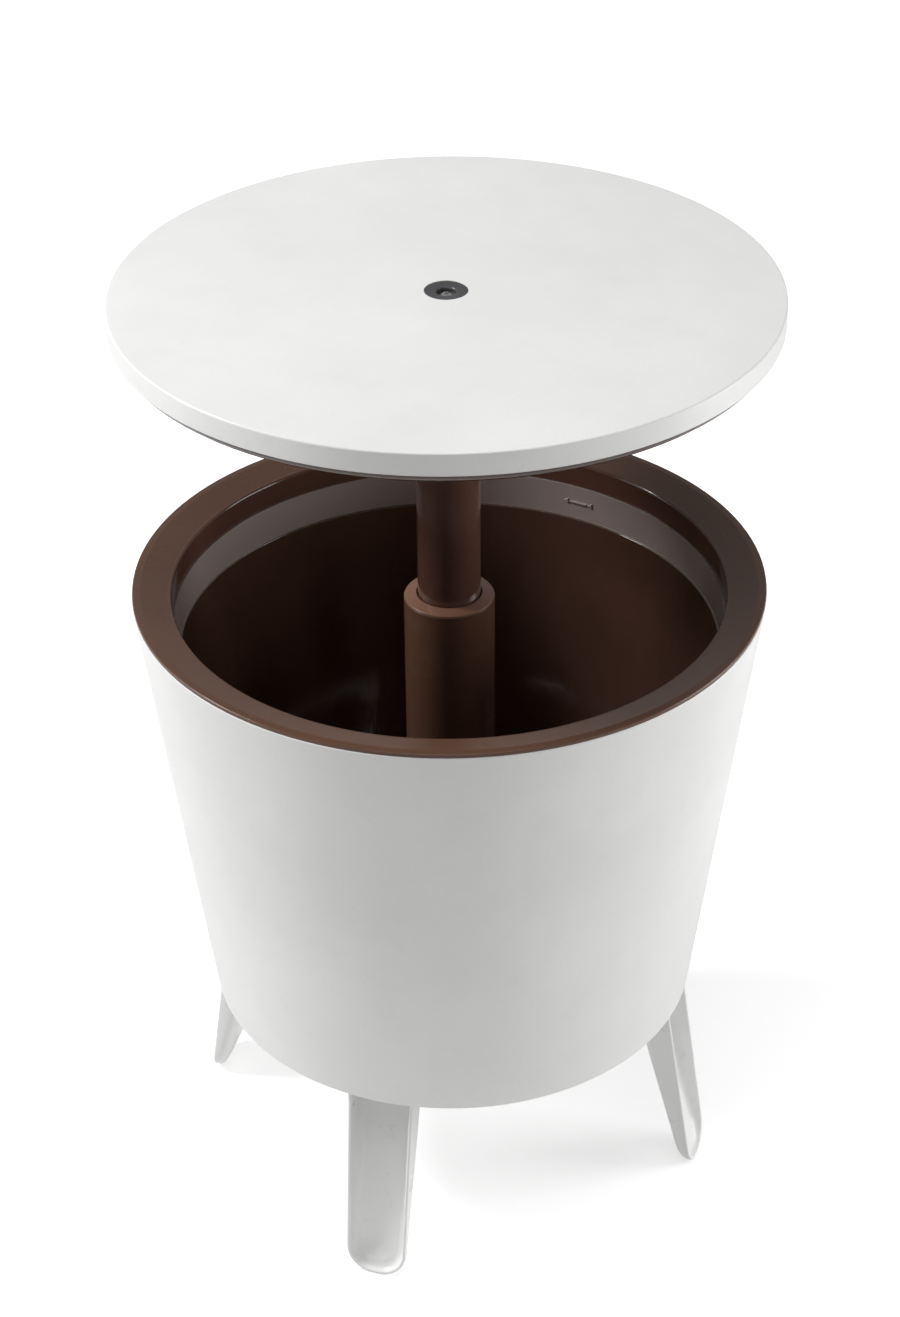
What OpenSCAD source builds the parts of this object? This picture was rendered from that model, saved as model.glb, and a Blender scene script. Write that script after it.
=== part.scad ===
// Cooler bar table: a round table top that lifts on a telescopic pole out of an insulated ice
// bucket on four legs. Millimetres, +Z up. The origin is on the floor under the table's centre.

/* [Table top] */
// Diameter of the table top
top_d = 495; // [460:5:530]
// Height of the white cover's edge
cover_edge_h = 17; // [12:0.5:19]
// Wall of the white cover
cover_wall = 3; // [2.5:0.25:4]
// Width of the rounding along the cover's upper edge
cover_round_w = 1.5; // [0.5:0.25:3]
// Height of the rounding along the cover's upper edge
cover_round_h = 1.5; // [0.5:0.25:3]
// Clear height between the cover and the web of the underside
core_h = 15; // [12:0.5:20]
// Wall of the brown underside
underside_wall = 3; // [2.5:0.25:4]
// Depth of the underside's rounded lip below its web
lip_h = 4; // [3:0.5:6]
// Radius of the underside's rounded lip
lip_round = 6; // [4:0.5:9.5]
// Depth of the ring under the table that drops into the bucket's mouth
mouth_ring_h = 12; // [8:1:16]
// Number of ribs inside the cover
rib_count = 12; // [8:4:16]
// Thickness of a rib
rib_t = 2; // [1.5:0.25:3]

/* [Centre fixing] */
// Diameter of the grey cup in the table's centre
cup_d = 32; // [26:1:40]
// Depth of the well in the cup
cup_well_h = 3.6; // [3.4:0.2:5]
// Diameter of the bolt through the centre
bolt_d = 6; // [5:1:8]
// Diameter of the bolt's round head
bolt_head_d = 10.5; // [10:0.5:12.5]
// Height of the bolt's round head
bolt_head_h = 3.3; // [2.5:0.1:3.3]
// Width of the nut across its flats
nut_w = 10; // [9:0.5:13]
// Thickness of the nut
nut_t = 5; // [4:0.5:6.5]

/* [Pole] */
// Travel of the table from closed to raised
lift = 216.5; // [120:0.5:225]
// Diameter of the brown pole
pole_d = 49; // [42:1:50]
// Wall of the pole
pole_wall = 2.5; // [2:0.25:4]
// Height of the hub above the underside's web
hub_up_h = 7.5; // [5:0.5:8]
// Diameter of the flange under the table
hub_d = 120; // [100:5:140]
// Thickness of the flange under the table
hub_t = 6; // [4:0.5:8]
// Height of the locking collar on the pole's foot
collar_h = 30; // [20:1:40]
// Diameter of the stub that the locking collar turns on
stub_d = 32; // [24:1:34]

/* [Sleeve] */
// Outer diameter of the fixed sleeve
sleeve_d = 70.6; // [68:0.2:80]
// Wall of the sleeve
sleeve_wall = 3.5; // [3:0.25:4.5]
// Depth of the sleeve's top below the rim
sleeve_drop = 14; // [12:1:40]
// Length of the guide in the top of the sleeve
guide_h = 30; // [20:1:45]
// Height of the guide's lip above the tube
guide_lip_h = 3.6; // [3:0.2:6]
// Fall of the guide's lip towards its edge
guide_lip_fall = 2; // [0.5:0.25:2]
// Number of rails inside the sleeve
rail_count = 3; // [2:1:4]
// Width of a rail
rail_w = 4; // [3:0.5:6]
// Diameter of the sleeve's foot
foot_flange_d = 116; // [100:2:124]
// Thickness of the sleeve's foot
foot_flange_t = 10; // [9:0.5:14]

/* [Bucket] */
// Height of the white casing
casing_h = 366; // [330:2:420]
// Outer diameter of the casing at its upper edge
casing_top_d = 489; // [476:1:500]
// Outer diameter of the casing at its lower edge
casing_foot_d = 395; // [375:5:415]
// Wall of the casing
casing_wall = 3; // [2.5:0.25:4]
// Height of the rim ring above the casing
rim_t = 3; // [2.5:0.5:6]
// Step in from the casing's edge to the rim ring
rim_step = 0.5; // [0:0.25:2]
// Width of the rim ring from its edge to the mouth
rim_w = 30; // [26:1:32]
// Fall of the rim ring towards the mouth
rim_fall = 6; // [3:0.5:8]
// Width of the level band along the rim ring's outer edge
rim_flat = 6; // [3:0.5:10]
// Depth of the mouth below the outer edge of the rim
mouth_h = 26.5; // [22:0.5:34]
// Height of the matte band below the mouth
band_h = 28.5; // [20:0.5:40]
// Width of each small ledge in the bucket's wall
ledge_w = 1.3; // [0.8:0.1:2]
// Wall of the bucket
liner_wall = 2.5; // [2:0.25:3.5]
// Radius of the bucket's inside at its floor
liner_floor_r = 176; // [160:1:184]
// Radius of the bend between the bucket's wall and floor
liner_bend = 16; // [8:1:24]
// Width of the fill mark on the band
mark_w = 16; // [8:1:24]

/* [Underneath] */
// Height of the casing's lower edge above the floor
leg_h = 167; // [140:2:220]
// Depth of the base plate inside the casing's lower edge
base_inset = 4; // [2:0.5:8]
// Thickness of the base plate
base_t = 4; // [3:0.5:6]
// Height of the air gap under the bucket
floor_gap = 23; // [20:1:40]
// Width of a leg at the base plate
leg_top_w = 54; // [48:1:64]
// Width of a leg at its foot
leg_foot_w = 49.5; // [44:1:52]
// Depth of a leg at the base plate
leg_top_t = 31; // [26:1:34]
// Depth of a leg at its foot
leg_foot_t = 9.7; // [9:0.1:16]
// Outward lean of a leg, as a slope
leg_lean = 0.147; // [0.05:0.001:0.2]
// Step in from the casing's lower edge to a leg
leg_step = 5; // [1.5:0.1:8]
// Wall of a leg
leg_wall = 3; // [2.5:0.25:4]
// Radius of the rounded corners of a foot
foot_round = 22; // [12:0.5:20]
// Distance of the drain from the centre
drain_pos = 118; // [92:1:140]
// Bore of the drain
drain_bore = 18; // [12:1:22]

/* [Hidden] */
$fn = 96;

// Clearances: beside a still neighbour, round a sliding or turning one, and round a screw
fit = 0.3;
run = 0.3;
screw_fit = 0.1;
seat_gap = 0.5;

// Colours
white = "whitesmoke";
brown = "#4b352b";
steel = "silver";
grey = "#55585c";

// Heights of the bucket, from the floor up
base_z = leg_h + base_inset;
liner_z = base_z + base_t + floor_gap;
floor_t = 3;
floor_z = liner_z + floor_t;
casing_top_z = leg_h + casing_h;
rim_z = casing_top_z + rim_t;
flange_z = rim_z - mouth_h;
band_z = flange_z - band_h;

// Radii of the bucket
casing_top_r = casing_top_d / 2;
casing_foot_r = casing_foot_d / 2;
rim_r = casing_top_r - rim_step;
mouth_r = rim_r - rim_w;
band_top_r = mouth_r - ledge_w;
band_foot_r = band_top_r - 1.7;
liner_top_r = band_foot_r - ledge_w;
shelf_t = 3;
shelf_z = flange_z - liner_wall;
shelf_w = 9.5;
base_shelf_t = 8;
base_shelf_w = 9.5;

// Heights of the table, raised
under_z = rim_z + seat_gap + lift;
web_z = under_z + lip_h;
core_z = web_z + underside_wall;
cover_z = core_z + core_h;
table_z = cover_z + cover_wall;
edge_z = table_z - cover_edge_h;

// Radii of the table
top_r = top_d / 2;
underside_r = top_r - cover_wall - fit;
mouth_ring_r = mouth_r - 5.5;
mouth_ring_t = 3;

// Centre fixing
cup_flange_t = 1.8;
cup_wall = 1.4;
well_r = bolt_head_d / 2 + 2;
well_z = table_z - cup_flange_t - cup_well_h;
cup_r = cup_d / 2;
bolt_r = bolt_d / 2;
bolt_hole_r = bolt_r + 0.3;
nut_r = nut_w / sqrt(3);

// Pole, from the guide up to the table
pole_r = pole_d / 2;
sleeve_r = sleeve_d / 2;
sleeve_bore_r = sleeve_r - sleeve_wall;
sleeve_top_z = rim_z - sleeve_drop;
pole_z = sleeve_top_z - guide_h;
hub_top_t = 3;
hub_top_z = core_z + hub_up_h;
pole_top_z = hub_top_z - hub_top_t;
plug_h = 22;
plug_r = pole_r - pole_wall - screw_fit;
stub_r = stub_d / 2;
cam_shift = 1;
retainer_t = 3;
retainer_screw_r = 2.8;
rail_r = pole_r + 3.2;
hub_socket_r = pole_r + 5;
hub_low_z = web_z - sleeve_drop - seat_gap - lip_h + 2.5;
nut_z = pole_top_z - plug_h / 2 - nut_t;

// Screws: shank and head radii, and head height
screw_r = 1.8;
screw_head_r = 3.4;
screw_head_h = 2.4;
boss_r = 4.5;
leg_screw_r = 2.2;
leg_screw_head_r = 4.2;
leg_screw_head_h = 3;
screw_grip = 9;
boss_h = 12;
boss_drill_h = boss_h - 2;

// Screw circles and counts
underside_screw_count = 8;
underside_screw_pos = 0.81 * top_r;
hub_screw_count = 6;
hub_screw_pos = hub_d / 2 - 9;
rim_screw_count = 8;
rim_screw_pos = inner_r(shelf_z) - 5.5;
sleeve_screw_count = 4;
sleeve_screw_pos = (foot_flange_d / 2 + sleeve_r) / 2;
base_screw_count = 8;
base_screw_pos = inner_r(base_z) - 4.6;
leg_screw_in = 16;
leg_screw_side = 12;
leg_plate_t = 5;

// Pedestal under the bucket, and the drain
pedestal_r = foot_flange_d / 2 + 10;
drain_angle = 45;
mark_angle = 77;
drain_r = drain_bore / 2;
neck_wall = 4;
neck_r = drain_r + neck_wall;
neck_z = leg_h - 2;
gasket_t = 2;
cap_wall = 3.4;
cap_r = neck_r + fit + cap_wall;
cap_z = neck_z - gasket_t - 3;
cap_h = 18;
grip_h = 8;

LEG_ANGLES = [0, 90, 180, 270];

// Points on an ellipse's arc, round (x, y), from angle a to angle b
function arc(x, y, rx, ry, a, b, n = 8) =
    [for (i = [0:n]) let (t = a + (b - a) * i / n) [x + rx * cos(t), y + ry * sin(t)]];

// Radius of the casing's outside and inside at a height
function outer_r(z) = casing_foot_r + (z - leg_h) * (casing_top_r - casing_foot_r) / casing_h;
function inner_r(z) = outer_r(z) - casing_wall;

// Outer face and depth of a leg at a height
leg_top_r = casing_foot_r - leg_step;
function leg_out(z) = leg_top_r + (leg_h - z) * leg_lean;
function leg_depth(z) = leg_foot_t + (leg_top_t - leg_foot_t) * z / base_z;
function leg_half_w(z) = (leg_foot_w + (leg_top_w - leg_foot_w) * z / base_z) / 2;

// Copies the children round the axis, count times, at a distance
module around(count, distance, first = 0) {
    for (i = [0:count - 1])
        rotate([0, 0, first + i * 360 / count]) translate([distance, 0, 0]) children();
}

// A ring or disc between two heights, with an optional bore
module ring(r, z0, z1, bore = 0) {
    difference() {
        translate([0, 0, z0]) cylinder(r = r, h = z1 - z0);
        if (bore > 0) translate([0, 0, z0 - 1]) cylinder(r = bore, h = z1 - z0 + 2);
    }
}

// A screw that points up, with its head under height z
module screw(z, length, r = screw_r, head_r = screw_head_r, head_h = screw_head_h) {
    ring(head_r, z - head_h, z);
    ring(r, z - 0.01, z + length);
}

// White top shell with its edge, ribs, screw bosses and stepped seat for the cup
module tabletop_cover() {
    boss_drill = screw_r + screw_fit;
    rib_in = hub_d / 2 + 4;
    color(white) difference() {
        union() {
            rotate_extrude() polygon(concat(
                [[0, cover_z], [top_r - cover_wall, cover_z], [top_r - cover_wall, edge_z],
                 [top_r, edge_z]],
                arc(top_r - cover_round_w, table_z - cover_round_h, cover_round_w, cover_round_h, 0, 90, 5),
                [[0, table_z]]));
            ring(cup_r + 5, hub_top_z, cover_z + 0.5);
            around(rib_count, rib_in)
                translate([0, -rib_t / 2, core_z])
                    cube([underside_r - underside_wall - 0.5 - rib_in, rib_t, core_h + 0.5]);
            around(underside_screw_count, underside_screw_pos, 22.5)
                ring(boss_r, core_z, cover_z + 0.5);
        }
        ring(cup_r + fit, table_z - cup_flange_t, table_z + 1);
        ring(well_r + cup_wall + fit, well_z - cup_wall, table_z);
        ring(bolt_hole_r, hub_top_z - 1, table_z);
        around(underside_screw_count, underside_screw_pos, 22.5)
            ring(boss_drill, core_z - 1, core_z + boss_drill_h);
    }
}

// Brown lower shell with its rounded lip and the ring that drops into the bucket's mouth
module tabletop_underside() {
    lip_x = underside_r - lip_round;
    color(brown) difference() {
        union() {
            rotate_extrude() {
                polygon(concat(
                    [[0, web_z], [lip_x - underside_wall, web_z], [lip_x - underside_wall, under_z]],
                    arc(lip_x, under_z + lip_round, lip_round, lip_round, -90, 0),
                    [[underside_r, core_z + 6], [underside_r - underside_wall, core_z + 6],
                     [underside_r - underside_wall, core_z], [0, core_z]]));
                translate([mouth_ring_r - mouth_ring_t, web_z - mouth_ring_h])
                    square([mouth_ring_t, mouth_ring_h + 1]);
            }
            around(hub_screw_count, hub_screw_pos, 15) ring(boss_r, web_z, core_z + boss_h - 3);
        }
        ring(hub_socket_r + fit, web_z - 1, core_z + 1);
        around(underside_screw_count, underside_screw_pos, 22.5)
            ring(screw_r + screw_fit, web_z - 1, core_z + 1);
        around(hub_screw_count, hub_screw_pos, 15)
            ring(screw_r + screw_fit, web_z - 1, core_z + boss_drill_h - 2);
    }
}

// Screws that hold the underside to the cover
module underside_screws() {
    color(steel) around(underside_screw_count, underside_screw_pos, 22.5)
        screw(web_z, underside_wall + screw_grip);
}

// Dished grey cup that spreads the load of the centre bolt
module centre_cup() {
    color(grey) rotate_extrude() polygon([
        [bolt_hole_r, well_z - cup_wall], [well_r + cup_wall, well_z - cup_wall],
        [well_r + cup_wall, table_z - cup_flange_t], [cup_r, table_z - cup_flange_t],
        [cup_r, table_z - 0.6], [cup_r - 0.5, table_z - 0.2], [well_r + 0.6, table_z - 0.9],
        [well_r, table_z - 1.5], [well_r, well_z], [bolt_hole_r, well_z]]);
}

// Round-headed bolt with a hexagon socket, from the cup down into the pole's head
module centre_bolt() {
    color(steel) difference() {
        union() {
            rotate_extrude() polygon(concat(
                [[0, well_z], [bolt_head_d / 2, well_z]],
                arc(0, well_z + 0.6, bolt_head_d / 2, bolt_head_h - 0.6, 0, 60, 6),
                [[0, well_z + 0.6 + (bolt_head_h - 0.6) * sin(60)]]));
            ring(bolt_r, nut_z - 4, well_z + 0.5);
        }
        translate([0, 0, well_z + 0.8]) cylinder(r = bolt_r * 0.77, h = bolt_head_h, $fn = 6);
    }
}

// Hexagon nut held in the pole's head
module centre_nut() {
    color(steel) difference() {
        translate([0, 0, nut_z]) cylinder(r = nut_r, h = nut_t, $fn = 6);
        translate([0, 0, nut_z - 1]) cylinder(r = bolt_r + 0.05, h = nut_t + 2);
    }
}

// Flange and socket that join the pole to the underside and reach up to the cover
module table_hub() {
    gusset_w = hub_screw_pos - boss_r - hub_socket_r + 4;
    color(brown) difference() {
        union() {
            ring(hub_d / 2, web_z - hub_t, web_z);
            ring(hub_socket_r, hub_low_z, hub_top_z);
            around(hub_screw_count, hub_socket_r - 1, 45)
                rotate([90, 0, 0]) translate([0, 0, -rib_t / 2]) linear_extrude(rib_t)
                    polygon([[0, hub_low_z + 3], [0, web_z - 1], [gusset_w, web_z - 1],
                             [gusset_w, web_z - hub_t - 1]]);
        }
        ring(pole_r + screw_fit, hub_low_z - 1, pole_top_z);
        ring(bolt_hole_r, pole_top_z - 1, hub_top_z + 1);
        around(hub_screw_count, hub_screw_pos, 15)
            ring(screw_r + screw_fit, web_z - hub_t - 1, web_z + 1);
    }
}

// Screws that hold the hub to the underside
module hub_screws() {
    color(steel) around(hub_screw_count, hub_screw_pos, 15)
        screw(web_z - hub_t, hub_t + 0.8 * screw_grip);
}

// Brown pole that slides in the guide
module pole() {
    color(brown) ring(pole_r, pole_z, pole_top_z, pole_r - pole_wall);
}

// Plug in the pole's upper end with a pocket for the nut
module pole_head() {
    color(grey) difference() {
        ring(plug_r, pole_top_z - plug_h, pole_top_z, bolt_hole_r);
        translate([0, 0, pole_top_z - plug_h - 1])
            cylinder(r = nut_r + 0.15, h = nut_z + nut_t - pole_top_z + plug_h + 1, $fn = 6);
    }
}

// Plug in the pole's lower end with the stub that the collar turns on
module pole_foot() {
    color(grey) difference() {
        union() {
            ring(plug_r, pole_z, pole_z + plug_h);
            ring(stub_r, pole_z - collar_h, pole_z - 0.7 * collar_h);
            ring(stub_r, pole_z - 0.3 * collar_h, pole_z + 1);
            translate([cam_shift, 0, 0]) ring(stub_r - cam_shift - 0.3, pole_z - collar_h + 1, pole_z);
        }
        ring(retainer_screw_r + screw_fit, pole_z - collar_h - 1, pole_z - collar_h + 20);
    }
}

// Split collar that keys to the sleeve's rails, slides with the pole and lets it turn
module lock_collar() {
    color(steel) difference() {
        ring(sleeve_bore_r - run, pole_z - collar_h + run, pole_z - run, stub_r + run);
        around(rail_count, rail_r - 0.4)
            translate([0, -rail_w / 2 - 0.4, pole_z - collar_h - 1])
                cube([sleeve_r, rail_w + 0.8, collar_h + 2]);
        rotate([0, 0, 180 / rail_count])
            translate([0, -1, pole_z - collar_h - 1]) cube([sleeve_r, 2, collar_h + 2]);
    }
}

// Washer that keeps the collar on the stub
module retainer_washer() {
    color(steel) ring(stub_r + 5, pole_z - collar_h - retainer_t, pole_z - collar_h,
        retainer_screw_r + screw_fit);
}

// Screw that holds the washer to the stub
module retainer_screw() {
    color(steel) screw(pole_z - collar_h - retainer_t, 20, retainer_screw_r, 5, 3);
}

// Fixed brown tube with its foot on the bucket's floor and the rails inside
module sleeve() {
    rail_top_z = pole_z;
    color(brown) difference() {
        union() {
            ring(sleeve_r, floor_z, sleeve_top_z - guide_lip_h, sleeve_bore_r);
            ring(foot_flange_d / 2, floor_z, floor_z + foot_flange_t, sleeve_bore_r);
            around(rail_count, rail_r)
                translate([0, -rail_w / 2, floor_z])
                    cube([sleeve_bore_r + 1 - rail_r, rail_w, rail_top_z - floor_z]);
        }
        around(sleeve_screw_count, sleeve_screw_pos, 45)
            ring(screw_r + screw_fit, floor_z - 1, floor_z + foot_flange_t - 2);
    }
}

// Guide in the sleeve's mouth, with the sloping lip that shows round the pole
module sleeve_guide() {
    lip_z = sleeve_top_z - guide_lip_h;
    lip_r = sleeve_r - 0.5;
    edge_z = sleeve_top_z - guide_lip_fall;
    color(brown) rotate_extrude() polygon(concat(
        [[pole_r + run, pole_z], [sleeve_bore_r - screw_fit, pole_z], [sleeve_bore_r - screw_fit, lip_z],
         [lip_r, lip_z]],
        arc(lip_r - 0.8, edge_z - 0.8, 0.8, 0.8, 0, 80, 4),
        [[pole_r + run + 1, sleeve_top_z], [pole_r + run, sleeve_top_z - 1]]));
}

// Screws from under the bucket's floor into the sleeve's foot
module sleeve_screws() {
    color(steel) around(sleeve_screw_count, sleeve_screw_pos, 45)
        screw(liner_z, floor_t + foot_flange_t - 3.5);
}

// Brown ring on the casing's edge, sloping to the mouth, with its skirt on the bucket's flange
module rim_ring() {
    skirt_t = 2.5;
    spigot_r = inner_r(casing_top_z) - fit;
    round_r = 1;
    mouth_z = rim_z - rim_fall;
    color(brown) difference() {
        union() {
            rotate_extrude() polygon(concat(
                [[mouth_r, flange_z], [mouth_r + skirt_t, flange_z], [mouth_r + skirt_t, mouth_z - 4],
                 [spigot_r - 3, casing_top_z - 1], [spigot_r - 3, casing_top_z - 6],
                 [spigot_r - 0.8, casing_top_z - 6], [spigot_r, casing_top_z - 1],
                 [spigot_r, casing_top_z], [rim_r, casing_top_z]],
                arc(rim_r - round_r, rim_z - round_r, round_r, round_r, 0, 90, 4),
                [[rim_r - rim_flat, rim_z]],
                arc(mouth_r + 2.5, mouth_z - 2, 2.5, 2.5, 80, 180, 6)));
            around(rim_screw_count, rim_screw_pos)
                ring(boss_r, flange_z, casing_top_z - 1.5);
        }
        around(rim_screw_count, rim_screw_pos)
            ring(screw_r + screw_fit, flange_z - 1, flange_z + boss_h);
    }
}

// Screws through the casing's shelf and the bucket's flange into the rim ring
module rim_screws() {
    color(steel) around(rim_screw_count, rim_screw_pos)
        screw(shelf_z - shelf_t, shelf_t + liner_wall + screw_grip);
}

// Wordless fill mark: a bar between two arrowheads
module level_mark() {
    square([1.4, mark_w], center = true);
    for (side = [-1, 1])
        translate([0, side * (mark_w / 2 + 3)])
            polygon([[-2.4, -2], [2.4, -2], [0, 2]]);
}

// Brown bucket with its flange, matte band, tapered wall, floor and drain neck
module liner() {
    flange_r = inner_r(shelf_z) - fit;
    bend_x = liner_floor_r - liner_bend;
    color(brown) difference() {
        union() {
            rotate_extrude() polygon(concat(
                [[0, floor_z]],
                arc(bend_x, floor_z + liner_bend, liner_bend, liner_bend, -90, -5, 6),
                [[liner_top_r, band_z - 0.8], [band_foot_r, band_z], [band_top_r, flange_z],
                 [flange_r, flange_z], [flange_r, shelf_z], [band_top_r + liner_wall, shelf_z],
                 [band_foot_r + liner_wall, band_z - 1.4]],
                arc(bend_x, floor_z + liner_bend, liner_bend + liner_wall, liner_bend + floor_t, -5, -90, 6),
                [[0, liner_z]]));
            rotate([0, 0, drain_angle]) translate([drain_pos, 0, 0]) ring(neck_r, neck_z, liner_z + 1);
            rotate([0, 0, mark_angle]) translate([band_foot_r + 1.5, 0, band_z + band_h / 2])
                rotate([0, -90, 0]) linear_extrude(2) level_mark();
        }
        rotate([0, 0, drain_angle]) translate([drain_pos, 0, 0]) ring(drain_r, neck_z - 1, floor_z + 1);
        around(sleeve_screw_count, sleeve_screw_pos, 45)
            ring(screw_r + screw_fit, liner_z - 1, floor_z + 1);
        around(rim_screw_count, rim_screw_pos)
            ring(screw_r + screw_fit, shelf_z - 1, flange_z + 1);
    }
}

// White tapered casing with a shelf for the bucket and one for the base plate
module casing() {
    plate_z = base_z + base_t;
    color(white) difference() {
        rotate_extrude() polygon([
            [inner_r(leg_h), leg_h], [casing_foot_r - 0.8, leg_h], [casing_foot_r, leg_h + 0.8],
            [casing_top_r, casing_top_z - 0.8], [casing_top_r - 0.4, casing_top_z],
            [inner_r(casing_top_z), casing_top_z], [inner_r(shelf_z), shelf_z],
            [inner_r(shelf_z) - shelf_w, shelf_z], [inner_r(shelf_z) - shelf_w, shelf_z - shelf_t],
            [inner_r(shelf_z - shelf_t), shelf_z - shelf_t],
            [inner_r(plate_z + base_shelf_t), plate_z + base_shelf_t],
            [inner_r(plate_z) - base_shelf_w, plate_z + base_shelf_t],
            [inner_r(plate_z) - base_shelf_w, plate_z], [inner_r(plate_z), plate_z]]);
        around(rim_screw_count, rim_screw_pos)
            ring(screw_r + screw_fit, shelf_z - shelf_t - 1, shelf_z + 1);
        around(base_screw_count, base_screw_pos, 22.5)
            ring(screw_r + screw_fit, plate_z - 1, plate_z + 7);
    }
}

// White plate that closes the casing below, carries the bucket and takes the legs
module base_plate() {
    plate_top_z = base_z + base_t;
    boss_top_z = plate_top_z + boss_h;
    color(white) difference() {
        union() {
            ring(inner_r(base_z) - fit, base_z, plate_top_z);
            ring(pedestal_r + 3, base_z, liner_z, pedestal_r);
            leg_screw_places() ring(boss_r, base_z, boss_top_z);
        }
        rotate([0, 0, drain_angle]) translate([drain_pos, 0, 0]) ring(cap_r + 4, base_z - 1, plate_top_z + 1);
        leg_screw_places() ring(leg_screw_r + screw_fit, base_z - 1, boss_top_z - 2);
        around(base_screw_count, base_screw_pos, 22.5)
            ring(screw_r + screw_fit, base_z - 1, plate_top_z + 1);
    }
}

// Screws that hold the base plate to the casing
module base_screws() {
    color(steel) around(base_screw_count, base_screw_pos, 22.5)
        screw(base_z, base_t + 6, screw_r, screw_head_r, screw_head_h);
}

// The two screw places of each leg
module leg_screw_places() {
    for (a = LEG_ANGLES, side = [-1, 1])
        rotate([0, 0, a])
            translate([leg_out(base_z) - leg_screw_in, side * leg_screw_side, 0]) children();
}

// A leg's outline seen from outside, taken in by an inset and cut at a top height
module leg_outline(inset, top_z) {
    r = foot_round - inset;
    half = leg_half_w(0) - inset;
    polygon(concat(
        [[leg_half_w(top_z) - inset, top_z], [-leg_half_w(top_z) + inset, top_z]],
        arc(-half + r, inset + r, r, r, 180, 270),
        arc(half - r, inset + r, r, r, 270, 360)));
}

// One leg: a channel open to the outside that leans out and gets thinner towards its round foot
module leg(angle) {
    reach = leg_out(0) + leg_foot_w;
    color(white) rotate([0, 0, angle]) difference() {
        intersection() {
            rotate([90, 0, 0]) translate([0, 0, -leg_top_w]) linear_extrude(2 * leg_top_w)
                polygon([[leg_out(0), 0], [leg_out(base_z), base_z],
                         [leg_out(base_z) - leg_top_t, base_z], [leg_out(0) - leg_foot_t, 0]]);
            rotate([90, 0, 90]) linear_extrude(reach) leg_outline(0, base_z);
        }
        intersection() {
            rotate([90, 0, 0]) translate([0, 0, -leg_top_w]) linear_extrude(2 * leg_top_w)
                polygon([[leg_out(0) + 10, 0], [leg_out(base_z) + 10, base_z],
                         [leg_out(base_z) - leg_top_t + leg_wall, base_z],
                         [leg_out(0) - leg_foot_t + leg_wall, 0]]);
            rotate([90, 0, 90]) linear_extrude(reach + 5) leg_outline(leg_wall, base_z - leg_plate_t);
        }
        rotate([0, 0, -angle]) ring(reach, leg_h - fit, base_z + 1, inner_r(leg_h) - fit);
        for (side = [-1, 1])
            translate([leg_out(base_z) - leg_screw_in, side * leg_screw_side, 0])
                ring(leg_screw_r + screw_fit, base_z - leg_plate_t - 1, base_z + 1);
    }
}

module right_leg() leg(LEG_ANGLES[0]);
module back_leg() leg(LEG_ANGLES[1]);
module left_leg() leg(LEG_ANGLES[2]);
module front_leg() leg(LEG_ANGLES[3]);

// Screws up through the legs into the base plate
module leg_screws() {
    color(steel) leg_screw_places()
        screw(base_z - leg_plate_t, leg_plate_t + base_t + screw_grip, leg_screw_r, leg_screw_head_r,
            leg_screw_head_h);
}

// Cap under the drain neck, with a bar to turn it by
module drain_cap() {
    color(grey) rotate([0, 0, drain_angle]) translate([drain_pos, 0, 0]) difference() {
        union() {
            ring(cap_r, cap_z, cap_z + cap_h);
            translate([-cap_r + 3, -2.5, cap_z - grip_h]) cube([2 * cap_r - 6, 5, grip_h + 1]);
        }
        ring(neck_r + fit, cap_z + 3, cap_z + cap_h + 1);
    }
}

// Rubber disc between the neck and the cap
module drain_gasket() {
    color("dimgray") rotate([0, 0, drain_angle]) translate([drain_pos, 0, 0])
        ring(neck_r - 0.2, cap_z + 3, cap_z + 3 + gasket_t);
}

tabletop_cover();
tabletop_underside();
underside_screws();
centre_cup();
centre_bolt();
centre_nut();
table_hub();
hub_screws();
pole();
pole_head();
pole_foot();
lock_collar();
retainer_washer();
retainer_screw();
sleeve();
sleeve_guide();
sleeve_screws();
rim_ring();
rim_screws();
liner();
casing();
base_plate();
base_screws();
right_leg();
back_leg();
left_leg();
front_leg();
leg_screws();
drain_cap();
drain_gasket();
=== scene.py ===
"""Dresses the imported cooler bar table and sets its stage. Metres, in the part's own frame."""

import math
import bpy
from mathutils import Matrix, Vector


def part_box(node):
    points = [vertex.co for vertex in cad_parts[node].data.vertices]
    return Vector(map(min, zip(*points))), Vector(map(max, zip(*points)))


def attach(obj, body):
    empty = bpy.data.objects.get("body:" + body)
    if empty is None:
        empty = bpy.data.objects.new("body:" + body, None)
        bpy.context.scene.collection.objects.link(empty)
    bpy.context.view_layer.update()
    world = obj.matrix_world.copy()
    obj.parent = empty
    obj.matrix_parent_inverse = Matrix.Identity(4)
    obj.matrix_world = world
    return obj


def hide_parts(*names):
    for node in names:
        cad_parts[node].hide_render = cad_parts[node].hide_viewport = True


bl_info = {
    "name": "Cooler bar table",
    "version": (1, 0, 0),
    "blender": (4, 5, 0),
    "location": "3D View > Sidebar > Cooler Table",
    "description": "Finishes for a lift-up bar table on a round ice bucket, and a plain studio stage",
    "category": "Object",
}

import bmesh
import bpy
from mathutils import Matrix, Vector

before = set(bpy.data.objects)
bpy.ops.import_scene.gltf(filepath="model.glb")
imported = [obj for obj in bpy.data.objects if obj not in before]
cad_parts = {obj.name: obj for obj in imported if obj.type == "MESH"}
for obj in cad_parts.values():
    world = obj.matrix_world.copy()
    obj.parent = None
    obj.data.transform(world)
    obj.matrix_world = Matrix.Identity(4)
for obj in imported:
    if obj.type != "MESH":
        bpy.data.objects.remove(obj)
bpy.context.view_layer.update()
CASING_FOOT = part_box("casing")[0].z
RIM_LOW, RIM_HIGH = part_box("rim_ring")
LEG_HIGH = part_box("right_leg")[1]

# Sizes that the finishes and the leg shells share with the part's source
RIM_WIDTH = 0.03
BAND_HEIGHT = 0.0285
BASE_PLATE_RADIUS = 0.1942

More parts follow.
